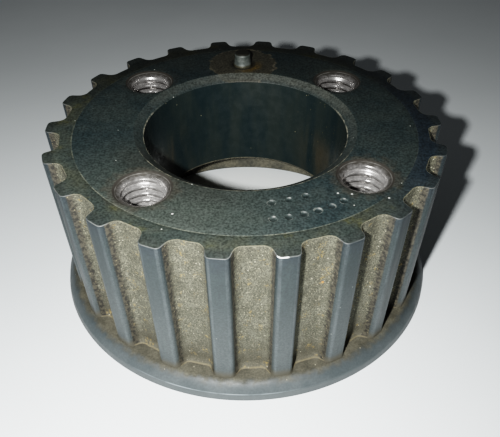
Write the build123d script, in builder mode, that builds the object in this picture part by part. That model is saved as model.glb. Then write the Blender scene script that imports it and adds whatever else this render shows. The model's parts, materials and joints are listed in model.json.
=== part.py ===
from build123d import *
import os
from math import cos, hypot, pi, radians, sin, tan

# Timing belt pulley. Millimetres, +Z along the pulley axis. The origin is on the axis in the
# plane of the flanged end, so the plain end with the locating dowel is the top face.

# Belt drive
teeth = 22
tooth_pitch = 9.525
belt_line_gap = 0.38
tooth_depth = 2.56
tooth_face = 26.2
land_width = 3.1
flank_angle = 12.5
tip_rounding = 0.8
root_rounding = 1.5
first_tooth_angle = 2.17
end_chamfer = 0.3

# Flange ring, pressed over a register below the teeth
flange_thickness = 3.0
flange_radius = 35.3
flange_edge_radius = 35.0
flange_edge_height = 1.2
flange_face_radius = 33.6
register_radius = 30.2

# Web with its bore, and the recess under it
web_thickness = 18.3
bore_radius = 17.0
bore_chamfer_width = 1.6
bore_chamfer_depth = 1.0
bore_back_chamfer = 0.4
recess_radius = 29.3
recess_fillet = 1.2
recess_chamfer = 0.7

# M8 tapped holes through the web: three stand square to each other on one circle and the
# fourth stands out of step with them, so that the pulley goes on its hub one way only
bolt_circle_radius = 23.25
square_bolt_angles = (140.5, 230.5, 320.5)
odd_bolt_radius = 22.8
odd_bolt_angle = 42.2
tap_drill_radius = 3.4
countersink_radius = 4.4
countersink_angle = 120.0
tap_back_chamfer = 0.4

# Stepped locating dowel: its shank is pressed flush into the top face, and its slimmer end
# stands out
dowel_circle_radius = 22.3
dowel_angle = 92.0
dowel_radius = 1.5
dowel_shank_radius = 1.75
dowel_step_height = 0.3
dowel_seat_depth = 8.0
dowel_seat_mouth_radius = 2.05
dowel_seat_mouth_angle = 90.0
dowel_protrusion = 2.35
dowel_point_chamfer = 0.35

# Worked out
tip_radius = teeth * tooth_pitch / (2 * pi) - belt_line_gap
root_radius = tip_radius - tooth_depth
pulley_height = flange_thickness + tooth_face
web_underside = pulley_height - web_thickness
tooth_overrun = 1.0


def on_circle(radius, angle, height):
    """The point at this radius and angle about the pulley axis."""
    return (radius * cos(radians(angle)), radius * sin(radians(angle)), height)


def half_width(radius):
    """Half of a tooth's width between its straight flanks, at this radius."""
    return land_width / 2 + (tip_radius - radius) * tan(radians(flank_angle))


def axis_distance(corner):
    """How far a corner stands from the pulley axis."""
    return round(hypot(corner.X, corner.Y), 2)


def rings_of(piece, radius):
    """The circular edges of this radius, lowest first."""
    circles = piece.edges().filter_by(GeomType.CIRCLE)
    return circles.filter_by(lambda edge: abs(edge.radius - radius) < 0.01).sort_by(Axis.Z)


inner, outer = root_radius - tooth_overrun, tip_radius + tooth_overrun
tooth_corners = [
    (inner, -half_width(inner)),
    (outer, -half_width(outer)),
    (outer, half_width(outer)),
    (inner, half_width(inner)),
]
bolt_places = [on_circle(bolt_circle_radius, angle, pulley_height) for angle in square_bolt_angles]
bolt_places.append(on_circle(odd_bolt_radius, odd_bolt_angle, pulley_height))
dowel_place = on_circle(dowel_circle_radius, dowel_angle, pulley_height)

os.makedirs("parts", exist_ok=True)

# Toothed body: the tooth ring stands on a plain register that carries the flange
with BuildPart() as toothed_body:
    with BuildSketch(Plane.XY.offset(flange_thickness)) as tooth_ring:
        Circle(root_radius)
        with PolarLocations(0, teeth, start_angle=first_tooth_angle):
            Polygon(*tooth_corners, align=None)
        Circle(tip_radius, mode=Mode.INTERSECT)
        fillet(tooth_ring.vertices().group_by(axis_distance)[0], root_rounding)
        fillet(tooth_ring.vertices().group_by(axis_distance)[-1], tip_rounding)
    extrude(amount=tooth_face)
    top_outline = toothed_body.faces().sort_by(Axis.Z)[-1].outer_wire().edges()
    chamfer(top_outline, end_chamfer)

    with BuildSketch():
        Circle(register_radius)
    extrude(amount=flange_thickness)

    # Underside recess, with a rounded inside corner and a broken lower edge
    with BuildSketch():
        Circle(recess_radius)
    extrude(amount=web_underside, mode=Mode.SUBTRACT)
    fillet(rings_of(toothed_body, recess_radius)[-1], recess_fillet)
    chamfer(rings_of(toothed_body, recess_radius)[0], recess_chamfer)

    # Bore through the web
    with BuildSketch(Plane.XY.offset(web_underside)):
        Circle(bore_radius)
    extrude(amount=web_thickness, mode=Mode.SUBTRACT)
    chamfer(rings_of(toothed_body, bore_radius)[0], bore_back_chamfer)
    chamfer(
        rings_of(toothed_body, bore_radius)[-1],
        bore_chamfer_width,
        bore_chamfer_depth,
        reference=toothed_body.faces().sort_by(Axis.Z)[-1],
    )

    # Tapped holes, drilled from the top face and broken at the back
    with Locations(*bolt_places):
        CounterSinkHole(tap_drill_radius, countersink_radius, web_thickness, countersink_angle)
    chamfer(rings_of(toothed_body, tap_drill_radius).group_by(Axis.Z)[0], tap_back_chamfer)

    # Seat of the dowel, with a broken mouth
    with Locations(dowel_place):
        CounterSinkHole(
            dowel_shank_radius,
            dowel_seat_mouth_radius,
            dowel_seat_depth,
            dowel_seat_mouth_angle,
        )
toothed_body.part.label = "toothed_body"

# Flange ring: flat belt-side face, bevelled towards a slightly tapered rim
with BuildPart() as flange_ring:
    with BuildSketch(Plane.XZ):
        with BuildLine():
            Polyline(
                (register_radius, 0),
                (flange_radius, 0),
                (flange_edge_radius, flange_edge_height),
                (flange_face_radius, flange_thickness),
                (register_radius, flange_thickness),
                close=True,
            )
        make_face()
    revolve(axis=Axis.Z)
flange_ring.part.label = "flange_ring"

# Locating dowel, turned about its own axis: local X is its radius and local Y its height
# above the top face
dowel_plane = Plane(origin=dowel_place, x_dir=(1, 0, 0), z_dir=(0, -1, 0))
with BuildPart() as locating_dowel:
    with BuildSketch(dowel_plane):
        with BuildLine():
            Polyline(
                (0, -dowel_seat_depth),
                (dowel_shank_radius - dowel_point_chamfer, -dowel_seat_depth),
                (dowel_shank_radius, dowel_point_chamfer - dowel_seat_depth),
                (dowel_shank_radius, 0),
                (dowel_radius, dowel_step_height),
                (dowel_radius, dowel_protrusion - dowel_point_chamfer),
                (dowel_radius - dowel_point_chamfer, dowel_protrusion),
                (0, dowel_protrusion),
                close=True,
            )
        make_face()
    revolve(axis=Axis(dowel_place, (0, 0, 1)))
locating_dowel.part.label = "locating_dowel"

for piece in (toothed_body, flange_ring, locating_dowel):
    export_step(piece.part, "parts/" + piece.part.label + ".step")
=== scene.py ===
import json
import math

import bmesh
import bpy
import numpy as np
from mathutils import Matrix, Vector, noise
from mathutils.geometry import delaunay_2d_cdt


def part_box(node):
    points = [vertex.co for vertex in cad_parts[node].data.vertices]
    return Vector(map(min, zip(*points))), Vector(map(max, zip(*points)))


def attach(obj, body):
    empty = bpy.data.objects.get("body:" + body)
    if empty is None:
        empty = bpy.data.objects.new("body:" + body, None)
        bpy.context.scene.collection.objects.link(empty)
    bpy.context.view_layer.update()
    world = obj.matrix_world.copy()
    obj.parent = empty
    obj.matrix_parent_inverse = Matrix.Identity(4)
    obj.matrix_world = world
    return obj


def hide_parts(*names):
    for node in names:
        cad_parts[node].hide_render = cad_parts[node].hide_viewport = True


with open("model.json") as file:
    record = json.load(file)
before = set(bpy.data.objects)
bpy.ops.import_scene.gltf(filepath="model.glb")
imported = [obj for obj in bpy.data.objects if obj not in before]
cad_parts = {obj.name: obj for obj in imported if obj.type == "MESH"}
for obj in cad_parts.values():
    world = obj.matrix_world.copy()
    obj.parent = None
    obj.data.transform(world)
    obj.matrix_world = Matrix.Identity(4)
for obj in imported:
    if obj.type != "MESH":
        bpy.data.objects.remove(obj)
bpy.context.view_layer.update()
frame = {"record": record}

# Lengths below are in millimetres, the units of the design; MM turns them into scene metres.
MM = 0.001
TURN = 2 * math.pi

# What the frame says
mounts = {mount["name"]: mount for mount in frame["record"]["mounts"]}
body_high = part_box("toothed_body")[1] / MM
flange_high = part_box("flange_ring")[1] / MM
dowel_low, dowel_high = (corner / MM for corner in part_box("locating_dowel"))
TOP = body_high.z
SEAT = flange_high.z
FLANGE_RADIUS = flange_high.x
BORE_RADIUS = mounts["hub_bore"]["dims"]["r_mm"]
DOWEL_RADIUS = mounts["dowel"]["dims"]["r_mm"]
DOWEL_AXIS = Vector(mounts["dowel"]["pos_m"][:2]) / MM
TAPPED_AXES = [
    Vector(mount["pos_m"][:2]) / MM
    for name, mount in mounts.items()
    if name.startswith("tapped_hole")
]

# The tooth form and the turned features, as in the design. The end rounding, the register's
# edge and the scribed circle are the visual's own.
TEETH = 22
TOOTH_PITCH = 9.525
BELT_LINE_GAP = 0.38
TOOTH_DEPTH = 2.56
TIP_RADIUS = TEETH * TOOTH_PITCH / TURN - BELT_LINE_GAP
ROOT_RADIUS = TIP_RADIUS - TOOTH_DEPTH
LAND_HALF_WIDTH = 1.55
FLANK_ANGLE = math.radians(12.5)
TIP_ROUNDING = 0.8
ROOT_ROUNDING = 1.5
FIRST_TOOTH = math.radians(2.17)
END_ROUNDING = 0.12

WEB_THICKNESS = 18.3
WEB_UNDERSIDE = TOP - WEB_THICKNESS
BORE_MOUTH_RADIUS = BORE_RADIUS + 1.6
BORE_MOUTH_DEPTH = 1.0
BORE_BACK_CHAMFER = 0.4
BORE_BACK_RADIUS = BORE_RADIUS + BORE_BACK_CHAMFER
RECESS_RADIUS = 29.3
RECESS_EDGE = 0.7
RECESS_FILLET = 1.2
REGISTER_RADIUS = 30.2
REGISTER_EDGE = 0.1
SCRIBED_RADIUS = 28.4
SCRIBED_HALF_WIDTH = 0.13
SCRIBED_DEPTH = 0.045

# The flange's outer edge as (radius, height), and where its flat face begins
FLANGE_EDGE = (35.0, 1.2)
FLANGE_FACE_RADIUS = 33.6

COUNTERSINK_RADIUS = 4.4
COUNTERSINK_SLOPE = math.tan(math.radians(60))
TAP_BACK_RADIUS = 3.8
THREAD_PITCH = 1.25
THREAD_MAJOR_RADIUS = 4.02
THREAD_MINOR_RADIUS = 3.36
# Where each hole's thread starts, in turns
THREAD_STARTS = (0.66, 0.82, 0.13, 0.51)
# The thread has a first share of its depth down to the start depth, and all of it one run-in
# further down
THREAD_FIRST_SHARE = 0.12
THREAD_START_DEPTH = 0.5
THREAD_RUN_IN = 1.7

DOWEL_SHANK_RADIUS = 1.75
DOWEL_FLARE_HEIGHT = 1.3
DOWEL_CHAMFER = 0.35
DOWEL_MOUTH_RADIUS = 2.05
DOWEL_MOUTH_DEPTH = DOWEL_MOUTH_RADIUS - DOWEL_SHANK_RADIUS

# How finely the round surfaces are divided
ROUND_SIDES = 240
FINE_SIDES = 360
HOLE_SIDES = 48
DOWEL_SIDES = 40
PUNCH_SIDES = 16
TOOTH_WALL_ROWS = 52

# Edges that turn by more than this look sharp, and points closer than this, in metres, are
# welded
SHARP_ANGLE = math.radians(38)
WELD_DISTANCE = 2e-6


# ---------------------------------------------------------------- mesh building


class Shell:
    """Gathers the surfaces of one closed piece, each with its finish.

    Every point also has a share of groove: 0 on a tooth's land, 1 in the middle of a gap.
    """

    def __init__(self):
        self.points, self.faces, self.finishes, self.groove = [], [], [], []

    def add(self, points, faces, finish, groove=None):
        first = len(self.points)
        self.points.extend(map(tuple, points))
        self.faces.extend(tuple(first + i for i in face) for face in faces)
        self.finishes.extend([finish] * len(faces))
        self.groove.extend([0.0] * len(points) if groove is None else groove)

    def grid(self, rows, finish, groove=None):
        """A band of quads through rows of points; each row closes on itself."""
        rows = np.asarray(rows, float)
        high, wide = rows.shape[:2]
        index = np.arange(high * wide).reshape(high, wide)
        beside = np.roll(index, -1, axis=1)
        corners = (index[:-1], beside[:-1], beside[1:], index[1:])
        faces = np.stack(corners, -1).reshape(-1, 4).tolist()
        self.add(rows.reshape(-1, 3), faces, finish, groove)

    def turned(self, outline, sides, finish, axis=(0.0, 0.0)):
        """A surface of revolution through (radius, height) points about an upright axis."""
        self.grid([ring(radius, height, sides, axis) for radius, height in outline], finish)

    def disc(self, radius, height, sides, finish, axis=(0.0, 0.0)):
        """A flat round end, as a fan about its middle."""
        rim = ring(radius, height, sides, axis)
        points = np.vstack([rim, [[axis[0], axis[1], height]]])
        self.add(points, [(i, (i + 1) % sides, sides) for i in range(sides)], finish)

    def build(self, name, finishes):
        """The finished object, in metres, with its seams welded and its faces turned outwards."""
        mesh = bpy.data.meshes.new(name)
        mesh.from_pydata((np.array(self.points) * MM).tolist(), [], self.faces)
        mesh.polygons.foreach_set("material_index", self.finishes)
        attribute = mesh.attributes.new("groove", "FLOAT", "POINT")
        attribute.data.foreach_set("value", np.array(self.groove, np.float32))
        for finish in finishes:
            mesh.materials.append(finish)
        edit = bmesh.new()
        edit.from_mesh(mesh)
        bmesh.ops.remove_doubles(edit, verts=edit.verts, dist=WELD_DISTANCE)
        bmesh.ops.recalc_face_normals(edit, faces=edit.faces)
        edit.to_mesh(mesh)
        edit.free()
        mesh.shade_smooth()
        mesh.set_sharp_from_angle(angle=SHARP_ANGLE)
        piece = bpy.data.objects.new(name, mesh)
        bpy.context.scene.collection.objects.link(piece)
        return piece


def ring(radius, height, sides, axis=(0.0, 0.0)):
    """Points of a level circle."""
    angles = np.arange(sides) * TURN / sides
    return np.stack(
        [
            axis[0] + radius * np.cos(angles),
            axis[1] + radius * np.sin(angles),
            np.full(sides, height, float),
        ],
        -1,
    )


def rounded(outline, radius, steps=3):
    """An outline of (radius, height) points with its inner corners cut to short arcs."""
    made = [outline[0]]
    for before, corner, after in zip(outline, outline[1:], outline[2:]):
        corner = Vector(corner)
        back, ahead = Vector(before) - corner, Vector(after) - corner
        reach = min(radius, back.length * 0.45, ahead.length * 0.45)
        start, end = corner + back.normalized() * reach, corner + ahead.normalized() * reach
        for step in range(steps + 1):
            t = step / steps
            bend = start * (1 - t) ** 2 + corner * 2 * t * (1 - t) + end * t**2
            made.append((bend.x, bend.y))
    made.append(outline[-1])
    return made


def inside(loop, places):
    """Which of the places lie inside a closed loop."""
    x, y = places[:, 0:1], places[:, 1:2]
    x1, y1 = loop[:, 0], loop[:, 1]
    x2, y2 = np.roll(x1, -1), np.roll(y1, -1)
    spans = (y1 > y) != (y2 > y)
    with np.errstate(divide="ignore", invalid="ignore"):
        crossing = x < (x2 - x1) * (y - y1) / (y2 - y1) + x1
    return (spans & crossing).sum(1) % 2 == 1


def flat_region(shell, outer, holes, height, finish, ridges=(), fill=()):
    """A level face between an outer loop and holes.

    Ridges are (loop, drop) pairs that it follows, and fill is loose points that even out its
    triangles.
    """
    loops = [outer, *holes, *(loop for loop, drop in ridges)]
    drops = [0.0] * (1 + len(holes)) + [drop for loop, drop in ridges]
    flat, edges, depths = [], [], []
    for loop, drop in zip(loops, drops):
        first, count = len(flat), len(loop)
        flat.extend(Vector((point[0], point[1])) for point in loop)
        edges.extend((first + i, first + (i + 1) % count) for i in range(count) if count > 1)
        depths.extend([drop] * count)
    flat.extend(Vector(point) for point in fill)
    depths.extend([0.0] * len(fill))
    made, _, triangles, sources, _, _ = delaunay_2d_cdt(flat, edges, [], 0, 1e-5)
    places = np.array([[*point] for point in made])
    middles = places[np.array(triangles)].mean(1)
    keep = inside(np.asarray(outer), middles)
    for hole in holes:
        keep &= ~inside(np.asarray(hole), middles)
    drop = [depths[source[0]] if source else 0.0 for source in sources]
    points = np.column_stack([places, height - np.array(drop)])
    shell.add(points, [triangle for triangle, kept in zip(triangles, keep) if kept], finish)


# ---------------------------------------------------------------- toothed body


def half_tooth():
    """Rows of x, y, outward normal and share of groove, from mid tooth to mid gap."""
    normal = Vector((math.sin(FLANK_ANGLE), math.cos(FLANK_ANGLE)))
    along = Vector((math.cos(FLANK_ANGLE), -math.sin(FLANK_ANGLE)))
    reach = normal.dot(Vector((TIP_RADIUS, LAND_HALF_WIDTH)))

    def rounding_centre(offset, distance):
        return normal * offset + along * math.sqrt(distance**2 - offset**2)

    tip = rounding_centre(reach - TIP_ROUNDING, TIP_RADIUS - TIP_ROUNDING)
    root = rounding_centre(reach + ROOT_ROUNDING, ROOT_RADIUS + ROOT_ROUNDING)
    tip_angle, root_angle = math.atan2(tip.y, tip.x), math.atan2(root.y, root.x)
    flank_direction = math.atan2(normal.y, normal.x)
    made = []

    def arc(centre, radius, start, end, steps, sign, low, high):
        for t in np.linspace(0, 1, steps + 1)[:-1]:
            angle = start + (end - start) * t
            out = Vector((math.cos(angle), math.sin(angle)))
            spot = centre + out * radius
            made.append((spot.x, spot.y, sign * out.x, sign * out.y, low + (high - low) * t))

    middle = Vector((0.0, 0.0))
    arc(middle, TIP_RADIUS, 0.0, tip_angle, 2, 1, 0.0, 0.0)
    arc(tip, TIP_ROUNDING, tip_angle, flank_direction, 5, 1, 0.0, 0.2)
    start, end = tip + normal * TIP_ROUNDING, root - normal * ROOT_ROUNDING
    for t in (0.0, 0.5):
        spot = start.lerp(end, t)
        made.append((spot.x, spot.y, normal.x, normal.y, 0.2 + 0.3 * t))
    arc(root, ROOT_ROUNDING, flank_direction + math.pi, root_angle + math.pi, 6, -1, 0.5, 0.9)
    arc(middle, ROOT_RADIUS, root_angle, math.pi / TEETH, 4, 1, 0.9, 1.0)
    last = math.pi / TEETH
    out = Vector((math.cos(last), math.sin(last)))
    made.append((out.x * ROOT_RADIUS, out.y * ROOT_RADIUS, out.x, out.y, 1.0))
    return np.array(made)


def tooth_outline():
    """The whole toothed outline: places, outward normals and share of groove."""
    half = half_tooth()
    mirrored = half[:0:-1] * np.array([1, -1, 1, -1, 1])
    one = np.vstack([mirrored[1:], half])
    turned = []
    for tooth in range(TEETH):
        angle = FIRST_TOOTH + tooth * TURN / TEETH
        spin = np.array([[math.cos(angle), math.sin(angle)], [-math.sin(angle), math.cos(angle)]])
        turned.append(np.hstack([one[:, 0:2] @ spin, one[:, 2:4] @ spin, one[:, 4:5]]))
    everything = np.vstack(turned)
    return everything[:, 0:2], everything[:, 2:4], everything[:, 4]


def grain(place, size):
    """Smooth noise between about -1 and 1 at one grain size."""
    return noise.noise(Vector(place) / size)


# Dirt packed into the foot of each gap: how high it reaches, how far out it spreads, and how
# hollow its slope is
DIRT_HEIGHT = 1.3
DIRT_SPREAD = 0.72
DIRT_HOLLOW = 2.4
DIRT_LEVELS = (0.0, 0.06, 0.14, 0.25, 0.4, 0.6, 0.8, 1.0)
# Height of the grit in the gaps and of the slow waves on the teeth
GROOVE_GRAIN = 0.055
LAND_WAVE = 0.006


def tooth_wall(shell, places, normals, groove, finish):
    """The belt side, from the flange seat to the rounded upper edge, and its two end loops."""
    heights = [SEAT + DIRT_HEIGHT * level for level in DIRT_LEVELS]
    shoulder = TOP - END_ROUNDING
    heights += list(np.linspace(SEAT + DIRT_HEIGHT, shoulder, TOOTH_WALL_ROWS)[1:])
    spreads = [
        DIRT_SPREAD * max(0.0, 1 - (height - SEAT) / DIRT_HEIGHT) ** DIRT_HOLLOW
        for height in heights
    ]
    offsets = [np.clip(groove * 1.3, 0.1, 1.0) * spread for spread in spreads]
    for step in range(1, 5):
        angle = step / 4 * math.pi / 2
        heights.append(shoulder + END_ROUNDING * math.sin(angle))
        offsets.append(np.full(len(groove), -END_ROUNDING * (1 - math.cos(angle))))
    rows = []
    for height, offset in zip(heights, offsets):
        level = places + normals * offset[:, None]
        row = np.column_stack([level, np.full(len(level), height)])
        if SEAT + 0.01 < height < shoulder + 0.01:
            swell = [
                GROOVE_GRAIN * g * (grain(spot, 0.8) + 0.7 * grain(spot, 0.38))
                + LAND_WAVE * grain(spot, 2.5)
                for spot, g in zip(row, groove)
            ]
            row[:, :2] += normals * np.array(swell)[:, None]
        rows.append(row)
    shell.grid(rows, finish, list(groove) * len(rows))
    return rows[0][:, :2], rows[-1][:, :2]


def thread_radius(depth, angle, start):
    """A tapped hole's wall: a ridged thread, shallow at first, between two countersinks."""
    phase = (depth / THREAD_PITCH + angle / TURN + start) % 1.0
    from_root = abs(phase - 0.5) * 2
    ridge = min(1.0, max(0.0, (from_root - 0.125) / 0.6))
    below_start = max(0.0, depth - THREAD_START_DEPTH)
    cut = min(1.0, THREAD_FIRST_SHARE + (1 - THREAD_FIRST_SHARE) * below_start / THREAD_RUN_IN)
    thread = THREAD_MINOR_RADIUS + (THREAD_MAJOR_RADIUS - THREAD_MINOR_RADIUS) * (1 - ridge) * cut
    mouth = COUNTERSINK_RADIUS - depth * COUNTERSINK_SLOPE
    back = TAP_BACK_RADIUS - (TOP - WEB_UNDERSIDE - depth)
    return max(thread, mouth, back)


def hole_mouth(axis):
    """The rim of a countersink, kept just outside the bore's chamfer."""
    rim = ring(COUNTERSINK_RADIUS, TOP, HOLE_SIDES, axis)
    clear = BORE_MOUTH_RADIUS + 0.03
    reach = np.hypot(rim[:, 0], rim[:, 1])
    rim[:, :2] *= np.maximum(1.0, clear / reach)[:, None]
    return rim


# The thread is divided finely down to this depth, and more coarsely below it
FINE_DEPTH = 9.0
FINE_STEP = 0.09
COARSE_ROWS = 60


def tapped_hole(shell, axis, start, finish):
    """One tapped hole through the web, finer where it can be seen from above."""
    through = TOP - WEB_UNDERSIDE
    fine = np.arange(0.0, FINE_DEPTH, FINE_STEP)
    coarse = np.linspace(FINE_DEPTH, through, COARSE_ROWS)
    angles = np.arange(HOLE_SIDES) * TURN / HOLE_SIDES
    rows = [hole_mouth(axis)]
    for depth in [*fine[1:], *coarse]:
        radii = np.array([thread_radius(depth, angle, start) for angle in angles])
        across = axis[0] + radii * np.cos(angles)
        deep = axis[1] + radii * np.sin(angles)
        rows.append(np.stack([across, deep, np.full(HOLE_SIDES, TOP - depth)], -1))
    shell.grid(rows, finish)


# Plain punch marks near the front of the bore: (radius, first angle, last angle, count)
PUNCH_ROWS = ((21.6, -80.0, -66.0, 3), (25.2, -81.0, -56.0, 6))
PUNCH_RADIUS = 0.62
PUNCH_DEPTH = 0.24
# A punch mark's bowl, as (share of its radius, share of its depth)
PUNCH_BOWL = ((1.0, 0.0), (0.8, 0.6), (0.5, 0.95), (0.2, 1.0))


def punch_axes():
    """Where the punch marks stand."""
    return [
        Vector((radius * math.cos(angle), radius * math.sin(angle)))
        for radius, first, last, count in PUNCH_ROWS
        for angle in np.radians(np.linspace(first, last, count))
    ]


def punch_marks():
    """Loops and depths of the punch marks' bowls."""
    return [
        (ring(PUNCH_RADIUS * share, 0.0, PUNCH_SIDES, axis), PUNCH_DEPTH * depth)
        for axis in punch_axes()
        for share, depth in PUNCH_BOWL
    ]


def scattered(radius_low, radius_high, spacing, keep_out):
    """A loose, even scatter of points on a ring, clear of round keep-outs."""
    made = []
    radius, row = radius_low, 0
    while radius < radius_high:
        count = int(TURN * radius / spacing)
        for i in range(count):
            angle = (i + 0.5 * (row % 2)) * TURN / count
            spot = Vector((radius * math.cos(angle), radius * math.sin(angle)))
            if all((spot - centre).length > clear for centre, clear in keep_out):
                made.append(spot)
        radius, row = radius + spacing * 0.87, row + 1
    return made


# Spacing of the loose points that even out the end face's triangles
FILL_SPACING = 0.9


def end_face_surface(shell, lip, finish):
    """The flat end face with its holes, its scribed circle and its punch marks."""
    bore_mouth = ring(BORE_MOUTH_RADIUS, TOP, ROUND_SIDES)
    dowel_mouth = ring(DOWEL_MOUTH_RADIUS, TOP, DOWEL_SIDES, DOWEL_AXIS)
    holes = [bore_mouth, dowel_mouth, *(hole_mouth(axis) for axis in TAPPED_AXES)]
    scribed = [
        (ring(SCRIBED_RADIUS + SCRIBED_HALF_WIDTH * side, TOP, FINE_SIDES), drop)
        for side, drop in ((-1, 0.0), (0, SCRIBED_DEPTH), (1, 0.0))
    ]
    keep_out = [(axis, COUNTERSINK_RADIUS + 0.4) for axis in TAPPED_AXES]
    keep_out.append((DOWEL_AXIS, DOWEL_MOUTH_RADIUS + 0.4))
    keep_out += [(axis, PUNCH_RADIUS + 0.2) for axis in punch_axes()]
    fill = scattered(BORE_MOUTH_RADIUS + 0.7, SCRIBED_RADIUS - 0.5, FILL_SPACING, keep_out)
    fill += scattered(SCRIBED_RADIUS + 0.6, ROOT_RADIUS - 0.8, FILL_SPACING, [])
    flat_region(shell, lip, holes, TOP, finish, [*scribed, *punch_marks()], fill)


def bore_surface(shell, mouth_finish, wall_finish, back_finish):
    """The bore, from its wide upper chamfer to its small lower one."""
    wall_top, wall_foot = TOP - BORE_MOUTH_DEPTH - 0.12, WEB_UNDERSIDE + 0.6
    mouth = [
        (BORE_MOUTH_RADIUS, TOP),
        (BORE_MOUTH_RADIUS - 0.02, TOP - 0.005),
        (BORE_RADIUS, TOP - BORE_MOUTH_DEPTH),
        (BORE_RADIUS, wall_top),
    ]
    wall = [(BORE_RADIUS, height) for height in np.linspace(wall_top, wall_foot, 12)]
    back = [
        (BORE_RADIUS, wall_foot),
        (BORE_RADIUS, WEB_UNDERSIDE + BORE_BACK_CHAMFER),
        (BORE_BACK_RADIUS, WEB_UNDERSIDE),
    ]
    shell.turned(rounded(mouth, 0.12), ROUND_SIDES, mouth_finish)
    shell.turned(wall, ROUND_SIDES, wall_finish)
    shell.turned(back, ROUND_SIDES, back_finish)


def dowel_seat(shell, finish):
    """The blind hole that the dowel is pressed into, with a broken mouth."""
    seat = [
        (DOWEL_MOUTH_RADIUS, TOP),
        (DOWEL_SHANK_RADIUS, TOP - DOWEL_MOUTH_DEPTH),
        (DOWEL_SHANK_RADIUS, dowel_low.z),
    ]
    shell.turned(seat, DOWEL_SIDES, finish, DOWEL_AXIS)
    shell.disc(DOWEL_SHANK_RADIUS, dowel_low.z, DOWEL_SIDES, finish, DOWEL_AXIS)


def underside_surface(shell, foot, finish):
    """The web's underside, the recess, the register and the ledge under the teeth."""
    web_rim = ring(RECESS_RADIUS - RECESS_FILLET, WEB_UNDERSIDE, ROUND_SIDES)
    bore_back = ring(BORE_BACK_RADIUS, WEB_UNDERSIDE, ROUND_SIDES)
    tap_backs = [ring(TAP_BACK_RADIUS, WEB_UNDERSIDE, HOLE_SIDES, axis) for axis in TAPPED_AXES]
    flat_region(shell, web_rim, [bore_back, *tap_backs], WEB_UNDERSIDE, finish)
    outline = [
        (
            RECESS_RADIUS - RECESS_FILLET * (1 - math.sin(angle)),
            WEB_UNDERSIDE - RECESS_FILLET * (1 - math.cos(angle)),
        )
        for angle in np.linspace(0, math.pi / 2, 7)
    ]
    outline += [(RECESS_RADIUS, height) for height in (6.0, 3.0, RECESS_EDGE)]
    outline += [
        (RECESS_RADIUS + RECESS_EDGE, 0.0),
        (REGISTER_RADIUS - REGISTER_EDGE, 0.0),
        (REGISTER_RADIUS, REGISTER_EDGE),
        (REGISTER_RADIUS, SEAT),
    ]
    shell.turned(outline, ROUND_SIDES, finish)
    flat_region(shell, foot, [ring(REGISTER_RADIUS, SEAT, ROUND_SIDES)], SEAT, finish)


def toothed_body(finishes):
    """The tooth ring, web, recess and register, as one closed piece."""
    belt_side, end_face, bore, thread, underside = range(5)
    shell = Shell()
    places, normals, groove = tooth_outline()
    foot, lip = tooth_wall(shell, places, normals, groove, belt_side)
    end_face_surface(shell, lip, end_face)
    bore_surface(shell, end_face, bore, underside)
    for axis, start in zip(TAPPED_AXES, THREAD_STARTS):
        tapped_hole(shell, axis, start, thread)
    dowel_seat(shell, end_face)
    underside_surface(shell, foot, underside)
    return shell.build("pulley_body", finishes)


# ---------------------------------------------------------------- flange and dowel


def flange_ring(finish):
    """The guide ring: its bevel curves up into the flat face, and its edges are broken."""
    edge_radius, edge_height = FLANGE_EDGE
    bevel_end = FLANGE_FACE_RADIUS - 0.6
    bevel = [
        (
            edge_radius + (bevel_end - edge_radius) * t,
            edge_height + (SEAT - edge_height) * (1 - (1 - t) ** 1.9),
        )
        for t in np.linspace(0.1, 1.0, 10)
    ]
    outline = [
        (REGISTER_RADIUS, SEAT / 2),
        (REGISTER_RADIUS, 0.06),
        (REGISTER_RADIUS + REGISTER_EDGE, 0.0),
        (FLANGE_RADIUS, 0.0),
        FLANGE_EDGE,
        *bevel,
        (REGISTER_RADIUS + REGISTER_EDGE, SEAT),
        (REGISTER_RADIUS, SEAT - 0.06),
        (REGISTER_RADIUS, SEAT / 2),
    ]
    shell = Shell()
    shell.turned(rounded(outline, 0.07), FINE_SIDES, 0)
    return shell.build("guide_flange", [finish])


def dowel(finish):
    """The dowel, flared at its foot, with its softly rounded point darkened by a painted
    reflection.
    """
    low, high = dowel_low.z, dowel_high.z
    outline = [
        (DOWEL_SHANK_RADIUS - DOWEL_CHAMFER, low),
        (DOWEL_SHANK_RADIUS, low + DOWEL_CHAMFER),
        (DOWEL_SHANK_RADIUS, TOP),
        (DOWEL_RADIUS + 0.1, TOP + 0.45 * DOWEL_FLARE_HEIGHT),
        (DOWEL_RADIUS, TOP + DOWEL_FLARE_HEIGHT),
        (DOWEL_RADIUS, high - DOWEL_CHAMFER),
        (DOWEL_RADIUS - DOWEL_CHAMFER, high),
        (DOWEL_RADIUS - 0.5, high),
    ]
    shell = Shell()
    shell.turned(rounded(outline, 0.12), DOWEL_SIDES, 0, DOWEL_AXIS)
    shell.disc(outline[0][0], low, DOWEL_SIDES, 0, DOWEL_AXIS)
    shell.disc(outline[-1][0], high, DOWEL_SIDES, 0, DOWEL_AXIS)
    return shell.build("timing_dowel", [finish])


# ---------------------------------------------------------------- finishes

# Where the end face is rubbed palest, where it is nicked, and where one tooth's upper edge
# carries a painted glint
RUBBED_PLACE = (-12.0, -23.0)
FACE_NICKS = ((-9.9, -23.8), (13.4, -19.1), (15.4, -19.3), (20.6, -20.2))
GLINT_PLACE = (4.98, -32.6)


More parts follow.
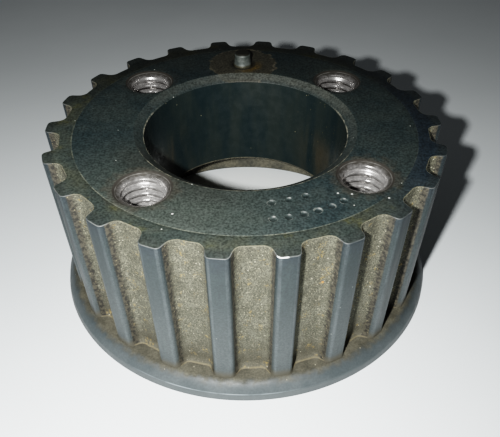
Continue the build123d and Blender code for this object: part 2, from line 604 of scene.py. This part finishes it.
class Finish:
    """A procedural material whose patterns are laid out in millimetres in the row frame."""

    def __init__(self, name, **fixed):
        self.material = bpy.data.materials.new(name)
        self.material.use_nodes = True
        self.tree = self.material.node_tree
        self.shader = self.tree.nodes["Principled BSDF"]
        for socket, value in fixed.items():
            self.shader.inputs[socket.replace("_", " ")].default_value = value
        place = self.node("TexCoord").outputs["Object"]
        scaled = self.node("VectorMath", {0: place, 3: 1 / MM}, operation="SCALE")
        self.place = scaled.outputs[0]
        split = self.node("SeparateXYZ", {0: self.place}).outputs
        self.x, self.y, self.z = split[0], split[1], split[2]
        self.radius = self.distance((0.0, 0.0))

    def node(self, kind, inputs=None, **settings):
        made = self.tree.nodes.new("ShaderNode" + kind)
        for name, value in settings.items():
            setattr(made, name, value)
        for name, value in (inputs or {}).items():
            if isinstance(value, bpy.types.NodeSocket):
                self.tree.links.new(value, made.inputs[name])
            else:
                made.inputs[name].default_value = value
        return made

    def math(self, operation, a, b=0.0):
        return self.node("Math", {0: a, 1: b}, operation=operation).outputs[0]

    def add(self, a, b):
        return self.math("ADD", a, b)

    def both(self, first, *others):
        """The product of shares: one only where every share is one."""
        for other in others:
            first = self.math("MULTIPLY", first, other)
        return first

    def distance(self, axis):
        """Distance from an upright axis."""
        across = self.math("SUBTRACT", self.x, axis[0])
        deep = self.math("SUBTRACT", self.y, axis[1])
        total = self.add(self.both(across, across), self.both(deep, deep))
        return self.math("SQRT", total)

    def nearest(self, axes):
        """Distance from the nearest of several upright axes."""
        best = self.distance(axes[0])
        for axis in axes[1:]:
            best = self.math("MINIMUM", best, self.distance(axis))
        return best

    def ramp(self, value, start, end, low=0.0, high=1.0):
        """A soft step of value from start to end, from low to high."""
        limits = {"From Min": start, "From Max": end, "To Min": low, "To Max": high}
        inputs = {"Value": value, **limits}
        return self.node("MapRange", inputs, interpolation_type="SMOOTHSTEP").outputs[0]

    def band(self, value, middle, half_width):
        """One within half_width of middle, falling to nothing just outside it."""
        off = self.math("ABSOLUTE", self.math("SUBTRACT", value, middle))
        return self.ramp(off, half_width, half_width * 0.4)

    def noise(self, size, detail=3.0, roughness=0.55, stretch=(1.0, 1.0, 1.0)):
        """Cloudy noise about 0.5, with features of this size in millimetres."""
        place = self.place
        if stretch != (1.0, 1.0, 1.0):
            made = self.node("VectorMath", {0: place, 1: stretch}, operation="MULTIPLY")
            place = made.outputs[0]
        inputs = {"Vector": place, "Scale": 1 / size, "Detail": detail, "Roughness": roughness}
        return self.node("TexNoise", inputs).outputs[0]

    def patches(self, size, detail, start, end, low=0.0, high=1.0):
        """Soft patches of this size: noise stepped from low to high between start and end."""
        return self.ramp(self.noise(size, detail), start, end, low, high)

    def wander(self, value, size, detail, margin, by):
        """A value pushed up or down by up to this much, in waves of this size."""
        return self.add(value, self.patches(size, detail, margin, 1 - margin, -by, by))

    def specks(self, size, share, speck_radius):
        """Small round specks: this share of cells of this size holds one."""
        cells = self.node("TexVoronoi", {"Vector": self.place, "Scale": 1 / size})
        pick = self.node("SeparateColor", {0: cells.outputs["Color"]}).outputs[0]
        chosen = self.ramp(pick, 1 - share, 1 - share + 0.002)
        near = self.ramp(cells.outputs["Distance"], speck_radius, speck_radius * 0.5)
        return self.both(chosen, near)

    def mix(self, share, a, b):
        """Colour a turning into colour b as share goes from 0 to 1."""
        made = self.node("Mix", {0: share}, data_type="RGBA")
        for socket, value in ((made.inputs[6], a), (made.inputs[7], b)):
            if isinstance(value, bpy.types.NodeSocket):
                self.tree.links.new(value, socket)
            else:
                socket.default_value = (*value, 1.0)
        return made.outputs[2]

    def scale(self, colour, by):
        """A colour made lighter or darker by a number."""
        return self.node("VectorMath", {0: colour, 3: by}, operation="SCALE").outputs[0]

    def done(self, colour, roughness, height=None, relief=0.02):
        """Wires colour, roughness and a bump whose height of 1 is relief millimetres."""
        for value, name in ((colour, "Base Color"), (roughness, "Roughness")):
            self.tree.links.new(value, self.shader.inputs[name])
        if height is not None:
            bump = self.node("Bump", {"Height": height, "Strength": 1.0, "Distance": relief * MM})
            self.tree.links.new(bump.outputs[0], self.shader.inputs["Normal"])
        return self.material


def face_ground(f):
    """The end face inside the scribed circle: mottled, rubbed at the front, dull by the bore,
    with painted shade towards the back.
    """
    cloud = f.noise(8.0, 4.0)
    colour = f.mix(f.ramp(cloud, 0.35, 0.65), (0.0165, 0.0255, 0.0272), (0.0262, 0.0345, 0.0330))
    rubbed = f.ramp(f.add(f.distance(RUBBED_PLACE), f.ramp(cloud, 0.2, 0.8, -5, 5)), 23, 5)
    colour = f.mix(rubbed, colour, (0.035, 0.042, 0.037))
    # Painted shade: the face's colour falls to 0.72 towards the back
    colour = f.scale(colour, f.ramp(f.y, 2.0, 24.0, 1.0, 0.72))
    by_bore = f.ramp(f.radius, BORE_MOUTH_RADIUS + 5.5, BORE_MOUTH_RADIUS + 1.0)
    dull = f.both(by_bore, f.ramp(f.x, 4.0, -6.0), f.ramp(f.y, -4.0, -12.0, 0.0, 0.75))
    return f.mix(dull, colour, (0.024, 0.027, 0.024))


def face_rim(f):
    """The end face outside the scribed circle: olive patches, bluer on the right, with painted
    light on the left and painted shade towards the back.
    """
    rim = f.mix(f.patches(6.0, 4.0, 0.35, 0.7), (0.026, 0.033, 0.030), (0.039, 0.042, 0.030))
    rim = f.mix(f.patches(3.0, 3.0, 0.58, 0.70, 0.0, 0.5), rim, (0.050, 0.050, 0.020))
    rim = f.mix(f.ramp(f.x, 14.0, 31.0), rim, (0.017, 0.026, 0.034))
    # Painted light on the left side, and painted shade darkening the ring towards the back
    painted_light_left = f.ramp(f.x, -31.0, -21.0, 1.6, 1.0)
    return f.scale(rim, f.both(f.ramp(f.y, -24.0, 26.0, 0.94, 0.36), painted_light_left))


def hole_stains(f, colour):
    """Brown rings round the tapped holes, a rusty, tide-marked stain round the dowel and a ring
    of painted shade at its foot.
    """
    edge = f.wander(f.nearest(TAPPED_AXES), 1.6, 4.0, 0.2, 1.1)
    halo = f.both(f.ramp(edge, 6.2, 4.2), f.ramp(f.y, 10.0, -8.0, 0.2, 0.7))
    colour = f.mix(halo, colour, (0.040, 0.038, 0.031))
    from_dowel = f.distance(DOWEL_AXIS)
    stain = f.wander(from_dowel, 1.4, 4.0, 0.2, 0.5)
    colour = f.mix(f.ramp(stain, 6.7, 6.3, 0.0, 0.85), colour, (0.036, 0.033, 0.024))
    tide = f.both(f.band(stain, 6.4, 0.35), f.patches(2.0, 3.0, 0.4, 0.7))
    colour = f.mix(tide, colour, (0.070, 0.064, 0.048))
    rust = f.both(f.ramp(stain, 4.2, 2.6), f.ramp(f.math("SUBTRACT", f.x, f.y), -22.5, -18.0))
    colour = f.mix(rust, colour, (0.074, 0.050, 0.014))
    # Painted shade: a dark ring round the dowel's foot
    return f.mix(f.ramp(from_dowel, 2.9, 2.2, 0.0, 0.8), colour, (0.012, 0.011, 0.008))


def chamfer_sheen_and_wear(f, colour):
    """The bore's chamfer: a painted sheen makes it paler towards the back, and its front edges
    carry bright wear with a painted highlight.
    """
    chamfer = f.ramp(f.radius, BORE_MOUTH_RADIUS + 0.05, BORE_MOUTH_RADIUS - 0.1)
    behind = f.ramp(f.y, -4.0, 12.0, 0.4, 1.0)
    to_right = f.ramp(f.x, -13.0, -1.0, 0.45, 1.0)
    outwards = f.ramp(f.radius, BORE_RADIUS, BORE_RADIUS + 0.7, 0.3, 1.0)
    uneven = f.patches(3.0, 3.0, 0.3, 0.6, 0.7, 1.0)
    # Painted sheen: the chamfer paler towards the back and the right
    pale = f.both(chamfer, behind, to_right, uneven, outwards)
    colour = f.mix(pale, colour, (0.050, 0.054, 0.048))
    # The bright front edges are wear with a painted highlight on them
    inner_edge = f.ramp(f.radius, BORE_RADIUS + 0.22, BORE_RADIUS + 0.08)
    inner_edge = f.both(inner_edge, f.ramp(f.y, 9.0, 3.0))
    outer_edge = f.band(f.radius, BORE_MOUTH_RADIUS - 0.02, 0.1)
    outer_edge = f.both(outer_edge, f.ramp(f.y, -6.0, -12.0))
    worn = f.both(f.add(inner_edge, outer_edge), f.patches(1.0, 3.0, 0.35, 0.65, 0.1, 0.9))
    return f.mix(worn, colour, (0.20, 0.19, 0.15))


def face_marks(f, colour):
    """Dark punch marks with bright rims, pale specks and a few bright nicks."""
    marks = f.nearest(punch_axes())
    colour = f.mix(f.ramp(marks, 0.5, 0.25, 0.0, 0.6), colour, (0.008, 0.012, 0.012))
    struck = f.both(f.band(marks, 0.6, 0.14), f.patches(0.7, 3.0, 0.45, 0.7))
    colour = f.mix(struck, colour, (0.13, 0.14, 0.13))
    colour = f.mix(f.specks(1.1, 0.03, 0.12), colour, (0.40, 0.41, 0.38))
    nicks = f.ramp(f.nearest(FACE_NICKS), 0.2, 0.1, 0.0, 0.8)
    return f.mix(nicks, colour, (0.60, 0.61, 0.59))


def end_face_finish():
    """Phosphated end face, dark and speckled, with its scribed line, stains, wear, marks and
    painted light and shade.
    """
    f = Finish("phosphated_end_face", Specular_IOR_Level=0.5)
    outside = f.ramp(f.radius, SCRIBED_RADIUS - 0.1, SCRIBED_RADIUS + 0.1)
    colour = f.mix(outside, face_ground(f), face_rim(f))
    tips = f.ramp(f.radius, ROOT_RADIUS + 0.2, ROOT_RADIUS + 1.6, 0.0, 0.6)
    colour = f.mix(tips, colour, (0.020, 0.024, 0.023))
    colour = hole_stains(f, colour)
    scribed = f.band(f.radius, SCRIBED_RADIUS, SCRIBED_HALF_WIDTH)
    scribed = f.both(scribed, f.patches(4.0, 3.0, 0.35, 0.65, 0.1, 0.8))
    scribed = f.both(scribed, f.ramp(f.x, 26.0, 4.0, 0.2, 1.0), f.ramp(f.y, 8.0, -12.0, 0.1, 1.0))
    colour = f.mix(scribed, colour, (0.115, 0.120, 0.095))
    colour = chamfer_sheen_and_wear(f, colour)
    colour = f.scale(colour, f.patches(0.32, 2.0, 0.25, 0.75, 0.58, 1.52))
    colour = face_marks(f, colour)
    roughness = f.patches(1.2, 4.0, 0.3, 0.7, 0.42, 0.62)
    height = f.add(f.noise(0.5, 3.0), f.noise(0.16, 2.0))
    return f.done(colour, roughness, height, 0.02)


def land_colour(f, groove, streaks):
    """The teeth's lands: blue-grey, darker at the top and lighter lower down by a painted
    reflection, burnished at their edges under a painted highlight, dusty below.
    """
    land = f.mix(f.ramp(streaks, 0.35, 0.7), (0.0125, 0.0185, 0.0200), (0.0215, 0.0290, 0.0300))
    # Painted reflection of the floor and flange: the lands lighter towards the bottom
    land = f.mix(f.ramp(f.z, TOP - 3, SEAT + 2, 0.0, 0.8), land, (0.047, 0.055, 0.056))
    under_lip = f.ramp(f.wander(f.z, 1.4, 3.0, 0.3, 1.2), TOP - 3.4, TOP - 0.6, 0.0, 0.7)
    land = f.mix(under_lip, land, (0.011, 0.016, 0.020))
    # Painted highlight along the lands' rounded edges, on top of burnish
    edge_burnish_and_highlight = f.both(f.band(groove, 0.06, 0.06), f.patches(3.0, 3.0, 0.35, 0.65, 0.1, 0.3))
    land = f.mix(edge_burnish_and_highlight, land, (0.085, 0.100, 0.106))
    land = f.scale(land, f.patches(0.3, 3.0, 0.25, 0.75, 0.75, 1.3))
    foot = f.ramp(f.add(f.z, f.noise(1.5)), SEAT + 2.4, SEAT + 1.0, 0.0, 0.85)
    land = f.mix(foot, land, (0.058, 0.052, 0.038))
    return f.mix(f.specks(0.7, 0.04, 0.13), land, (0.26, 0.27, 0.26))


def sand_colour(f):
    """The grit in the gaps: pits, grains, pale specks that are partly painted glints, ochre
    crumbs and a few orange ones, darker below.
    """
    sand = f.mix(f.patches(2.2, 4.0, 0.35, 0.7), (0.075, 0.073, 0.052), (0.113, 0.111, 0.083))
    pits = f.ramp(f.noise(0.22, 3.0, 0.7), 0.56, 0.41, 0.0, 0.85)
    sand = f.mix(pits, sand, (0.028, 0.027, 0.020))
    grains = f.ramp(f.noise(0.25, 2.0, 0.6), 0.56, 0.68, 0.0, 0.55)
    sand = f.mix(grains, sand, (0.27, 0.25, 0.18))
    low = f.ramp(f.add(f.z, f.noise(4.0, 3.0)), SEAT + 9, SEAT + 1, 0.0, 0.65)
    sand = f.mix(low, sand, (0.050, 0.046, 0.034))
    ochre = f.both(f.patches(1.6, 3.0, 0.56, 0.66), f.patches(0.3, 3.0, 0.5, 0.6))
    sand = f.mix(f.both(ochre, 0.6), sand, (0.24, 0.17, 0.06))
    # Pale grains, partly painted glints
    sand = f.mix(f.specks(0.5, 0.14, 0.2), sand, (0.42, 0.39, 0.30))
    return f.mix(f.specks(1.6, 0.03, 0.16), sand, (0.40, 0.17, 0.05))


def gap_colour(f, ragged):
    """The gaps between the teeth: dark flanks, grit between them, a pale line at the seat, and
    painted light making them paler on the right.
    """
    flank = f.mix(f.patches(0.5, 3.0, 0.4, 0.6), (0.018, 0.017, 0.014), (0.052, 0.047, 0.035))
    flank = f.mix(f.specks(0.45, 0.22, 0.2), flank, (0.26, 0.22, 0.13))
    gap = f.mix(f.ramp(ragged, 0.45, 0.62), flank, sand_colour(f))
    # Painted light: the gaps grow paler towards the right
    painted_light_right = f.ramp(f.x, 22.0, 32.0, 1.0, 1.3)
    gap = f.scale(gap, painted_light_right)
    seat_line = f.ramp(f.z, SEAT + 0.26, SEAT + 0.12, 0.0, 0.7)
    return f.mix(seat_line, gap, (0.120, 0.102, 0.062))


def belt_side_finish():
    """Belt side: lands rubbed by the belt, gritty gaps and a worn upper edge with one painted
    glint.
    """
    f = Finish("belt_worn_teeth", Specular_IOR_Level=0.4)
    groove = f.node("Attribute", attribute_name="groove").outputs["Fac"]
    streaks = f.noise(0.9, 4.0, stretch=(1.0, 1.0, 0.12))
    ragged = f.wander(groove, 0.45, 3.0, 0.3, 0.06)
    crisp = f.wander(groove, 0.3, 3.0, 0.3, 0.02)
    land, gap = land_colour(f, groove, streaks), gap_colour(f, ragged)
    colour = f.mix(f.ramp(crisp, 0.19, 0.27), land, gap)
    lip = f.ramp(f.z, TOP - END_ROUNDING, TOP - 0.5 * END_ROUNDING)
    lip = f.both(lip, f.patches(2.5, 3.0, 0.3, 0.7, 0.3, 1.0))
    worn = f.mix(f.ramp(groove, 0.3, 0.6), (0.105, 0.110, 0.107), (0.120, 0.115, 0.080))
    colour = f.mix(lip, colour, worn)
    # The nick is a painted glint: a white highlight painted on one tooth's upper edge
    nick = f.both(f.ramp(f.distance(GLINT_PLACE), 0.95, 0.6), f.ramp(f.z, TOP - 0.16, TOP - 0.08))
    colour = f.mix(nick, colour, (0.85, 0.86, 0.85))
    roughness = f.add(f.ramp(ragged, 0.1, 0.4, 0.0, 0.3), f.ramp(streaks, 0.3, 0.7, 0.42, 0.55))
    coarse = f.both(f.ramp(ragged, 0.1, 0.7, 0.04, 1.0), f.noise(0.22, 3.0, 0.7))
    return f.done(colour, roughness, coarse, 0.08)


def bore_finish():
    """Bore wall: very dark and smooth, with a few bright specks and brown films that are partly a
    painted reflection, strongest at the sides.
    """
    f = Finish("dark_bore", Specular_IOR_Level=0.5)
    film = f.noise(4.0, 3.0, stretch=(1.0, 1.0, 0.2))
    colour = f.mix(f.ramp(film, 0.3, 0.6), (0.0105, 0.0185, 0.0205), (0.0160, 0.0235, 0.0230))
    # Painted reflection: brown streaks on the wall, partly a real film, strongest at the sides
    sides = f.both(f.ramp(f.math("ABSOLUTE", f.x), 9.0, 15.0), f.ramp(f.z, TOP - 6, TOP - 12))
    brown = f.both(f.ramp(film, 0.40, 0.65), f.add(0.08, f.both(sides, 0.7)))
    colour = f.mix(brown, colour, (0.046, 0.040, 0.028))
    colour = f.mix(f.specks(0.8, 0.06, 0.13), colour, (0.22, 0.20, 0.13))
    crumbs = f.both(f.specks(0.55, 0.12, 0.16), f.ramp(f.x, 7.0, 14.0))
    colour = f.mix(crumbs, colour, (0.16, 0.13, 0.07))
    roughness = f.patches(1.5, 4.0, 0.3, 0.7, 0.34, 0.48)
    return f.done(colour, roughness, f.noise(0.4, 3.0), 0.01)


def thread_finish():
    """Bare metal of the tapped holes, grey at the mouth, with painted shade and some dirt in the
    roots and deeper down, and painted shade on the back holes.
    """
    f = Finish("bare_thread", Metallic=0.8, Specular_IOR_Level=0.5)
    holes = f.nearest(TAPPED_AXES)
    worn = f.patches(0.6, 4.0, 0.3, 0.7)
    colour = f.mix(worn, (0.36, 0.35, 0.345), (0.54, 0.53, 0.52))
    # Painted shade with some dirt in the thread roots
    roots = f.ramp(holes, THREAD_MAJOR_RADIUS - 0.2, THREAD_MAJOR_RADIUS - 0.03, 0.0, 0.93)
    colour = f.mix(roots, colour, (0.035, 0.031, 0.027))
    # Painted shade with some dirt: darker deeper down
    deep = f.ramp(f.z, TOP - 5, TOP - 12, 0.0, 0.6)
    colour = f.mix(deep, colour, (0.10, 0.095, 0.09))
    mouth = f.ramp(f.wander(f.z, 0.8, 3.0, 0.3, 0.15), TOP - 0.8, TOP - 0.2)
    colour = f.mix(mouth, colour, (0.15, 0.14, 0.125))
    # Painted shade: the holes at the back are darker
    colour = f.scale(colour, f.ramp(f.y, -12.0, 12.0, 1.0, 0.9))
    bright = f.both(f.band(holes, THREAD_MAJOR_RADIUS, 0.08), f.ramp(f.z, TOP - 0.5, TOP - 0.3))
    bright = f.both(bright, f.patches(1.5, 3.0, 0.35, 0.65, 0.1, 0.8))
    colour = f.mix(bright, colour, (0.50, 0.49, 0.46))
    roughness = f.patches(0.35, 3.0, 0.3, 0.7, 0.28, 0.38)
    roughness = f.both(roughness, f.ramp(f.y, -12.0, 12.0, 1.0, 0.85))
    cut_lines = f.noise(0.3, 2.0, stretch=(0.2, 0.2, 3.0))
    return f.done(colour, roughness, cut_lines, 0.035)


def underside_finish():
    """Recess and web underside: a dull olive film over the dark coating."""
    f = Finish("dusty_underside", Specular_IOR_Level=0.4)
    colour = f.mix(f.patches(4.0, 4.0, 0.35, 0.65), (0.050, 0.049, 0.039), (0.090, 0.084, 0.062))
    colour = f.scale(colour, f.patches(0.5, 3.0, 0.2, 0.8, 0.65, 1.35))
    roughness = f.patches(1.0, 3.0, 0.3, 0.7, 0.5, 0.75)
    return f.done(colour, roughness, f.noise(0.5, 3.0), 0.03)


def flange_finish():
    """Guide ring: blue-grey outside, with brown dust towards the teeth and a painted highlight
    along the front of its outer edge.
    """
    f = Finish("rubbed_flange", Specular_IOR_Level=0.5)
    clean = f.mix(f.patches(4.0, 4.0, 0.3, 0.7), (0.040, 0.050, 0.053), (0.057, 0.067, 0.070))
    clean = f.scale(clean, f.patches(0.35, 3.0, 0.25, 0.75, 0.85, 1.15))
    clean = f.scale(clean, f.ramp(f.radius, 33.2, 34.6, 0.64, 1.0))
    dust = f.mix(f.patches(1.8, 4.0, 0.3, 0.7), (0.034, 0.032, 0.023), (0.064, 0.060, 0.044))
    dust = f.scale(dust, f.patches(0.3, 3.0, 0.25, 0.75, 0.7, 1.35))
    dust = f.mix(f.specks(0.6, 0.06, 0.2), dust, (0.36, 0.33, 0.25))
    reach = f.wander(f.radius, 1.2, 4.0, 0.3, 0.35)
    dusty = f.ramp(reach, 34.3, 32.9)
    colour = f.mix(dusty, clean, dust)
    # Painted highlight: a bright line along the front of the outer edge
    line = f.patches(5.0, 3.0, 0.35, 0.6, 0.25, 1.0)
    edge = f.both(f.band(f.z, FLANGE_EDGE[1] + 0.04, 0.12), line)
    edge = f.both(edge, f.ramp(f.y, -26.0, -33.0, 0.05, 1.0))
    edge = f.both(edge, f.ramp(f.math("ABSOLUTE", f.add(f.x, 6.0)), 17.0, 5.0, 0.1, 1.0))
    colour = f.mix(edge, colour, (0.16, 0.185, 0.195))
    rim = f.ramp(f.z, FLANGE_EDGE[1] - 0.05, FLANGE_EDGE[1] - 0.25, 0.0, 0.6)
    colour = f.mix(rim, colour, (0.072, 0.080, 0.082))
    roughness = f.add(f.ramp(dusty, 0.0, 1.0, 0.0, 0.2), f.patches(1.5, 3.0, 0.3, 0.7, 0.5, 0.62))
    return f.done(colour, roughness, f.noise(0.4, 3.0), 0.012)


def dowel_finish():
    """Dowel: ground grey-green side, top darkened by a painted reflection of the dim room."""
    f = Finish("ground_dowel", Metallic=0.4)
    side = f.mix(f.patches(0.8, 3.0, 0.3, 0.7), (0.066, 0.076, 0.072), (0.128, 0.140, 0.132))
    # Painted reflection: the top darkened as if mirroring the dim room
    point = f.ramp(f.z, dowel_high.z - 0.4, dowel_high.z - 0.15)
    colour = f.mix(point, side, (0.022, 0.022, 0.018))
    foot = f.ramp(f.z, TOP + 0.4, TOP + 0.1, 0.0, 0.8)
    colour = f.mix(foot, colour, (0.045, 0.038, 0.020))
    roughness = f.patches(0.5, 3.0, 0.3, 0.7, 0.4, 0.55)
    return f.done(colour, roughness, f.noise(0.3, 2.0), 0.01)


def floor_finish():
    """A plain pale table top, with a painted pool of light under the pulley."""
    f = Finish("pale_floor", Specular_IOR_Level=0.3)
    colour = f.mix(f.patches(60.0, 3.0, 0.3, 0.7), (0.735, 0.78, 0.797), (0.775, 0.82, 0.837))
    # Painted light: a paler disc under the pulley, seen through the bore as a lit patch
    colour = f.mix(f.ramp(f.radius, 32.0, 24.0), colour, (0.92, 0.95, 0.94))
    return f.done(colour, f.patches(20.0, 3.0, 0.3, 0.7, 0.5, 0.6))


# ---------------------------------------------------------------- pieces

finishes = [
    belt_side_finish(),
    end_face_finish(),
    bore_finish(),
    thread_finish(),
    underside_finish(),
]
body = toothed_body(finishes)
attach(body, "root")
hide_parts("toothed_body")

flange = flange_ring(flange_finish())
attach(flange, "root")
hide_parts("flange_ring")

pin = dowel(dowel_finish())
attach(pin, "root")
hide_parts("locating_dowel")

# ---------------------------------------------------------------- floor, lights, camera

# The floor's size and how far it lies under the pulley, in metres
FLOOR_SIZE = 3.0
FLOOR_GAP = 0.00002
bpy.ops.mesh.primitive_plane_add(size=FLOOR_SIZE, location=(0, 0, -FLOOR_GAP))
floor = bpy.context.object
floor.name = "floor"
floor.data.materials.append(floor_finish())


def area_light(name, place, target, size, power, colour):
    """A round soft light aimed at a point; places are in millimetres."""
    data = bpy.data.lights.new(name, "AREA")
    data.shape = "DISK"
    data.size = size * MM
    data.energy = power
    data.color = colour
    lamp = bpy.data.objects.new(name, data)
    place, target = Vector(place) * MM, Vector(target) * MM
    lamp.location = place
    lamp.rotation_euler = (target - place).to_track_quat("-Z", "Y").to_euler()
    bpy.context.scene.collection.objects.link(lamp)
    return lamp


# A small flash just left of the camera, a low lamp behind that lights only the pulley and
# leaves no highlights, and a dim room around them. Places and sizes are in millimetres, powers
# in watts.
FLASH_PLACE = (-12.5, -85.0, 79.0)
FLASH_TARGET = (-12.0, -45.0, 0.0)
FLASH_SIZE = 4.5
FLASH_POWER = 0.25
FLASH_COLOUR = (1.0, 1.0, 0.985)
BACK_PLACE = (30.0, 260.0, 14.0)
BACK_TARGET = (0.0, 0.0, 14.0)
BACK_SIZE = 24
BACK_POWER = 0.6
BACK_COLOUR = (0.97, 0.99, 1.0)
ROOM_STRENGTH = 0.046
ROOM_COLOUR = (0.95, 0.98, 1.0, 1.0)

area_light("flash", FLASH_PLACE, FLASH_TARGET, FLASH_SIZE, FLASH_POWER, FLASH_COLOUR)
back = area_light("back_lamp", BACK_PLACE, BACK_TARGET, BACK_SIZE, BACK_POWER, BACK_COLOUR)
back.visible_camera = False
back.visible_glossy = False
lit_pieces = bpy.data.collections.new("pulley_pieces")
for piece in (body, flange, pin):
    lit_pieces.objects.link(piece)
back.light_linking.receiver_collection = lit_pieces
world = bpy.data.worlds.new("dim_room")
world.use_nodes = True
room = world.node_tree.nodes["Background"].inputs
room["Color"].default_value = ROOM_COLOUR
room["Strength"].default_value = ROOM_STRENGTH
bpy.context.scene.world = world

# The camera stands in front and looks down at the pulley; its frame is shifted off centre
CAMERA_PLACE = (1.12, -83.57, TOP + 48.52)
CAMERA_TURN = math.radians(-1.008)
CAMERA_TILT = math.radians(90 - 46.124)
CAMERA_ROLL = math.radians(0.677)
CAMERA_LENS = 39.96
CAMERA_SENSOR = 36.0
CAMERA_SHIFT = (-0.0187, 0.1282)
CAMERA_REACH = (0.005, 10.0)

lens = bpy.data.cameras.new("camera")
lens.sensor_width = CAMERA_SENSOR
lens.lens = CAMERA_LENS
lens.shift_x, lens.shift_y = CAMERA_SHIFT
lens.clip_start, lens.clip_end = CAMERA_REACH
camera = bpy.data.objects.new("camera", lens)
turn = Matrix.Rotation(CAMERA_TURN, 4, "Z") @ Matrix.Rotation(CAMERA_TILT, 4, "X")
turn = turn @ Matrix.Rotation(CAMERA_ROLL, 4, "Z")
camera.matrix_world = Matrix.Translation(Vector(CAMERA_PLACE) * MM) @ turn
bpy.context.scene.collection.objects.link(camera)
bpy.context.scene.camera = camera
bpy.context.scene.view_settings.view_transform = "Filmic"
bpy.context.scene.view_settings.look = "High Contrast"
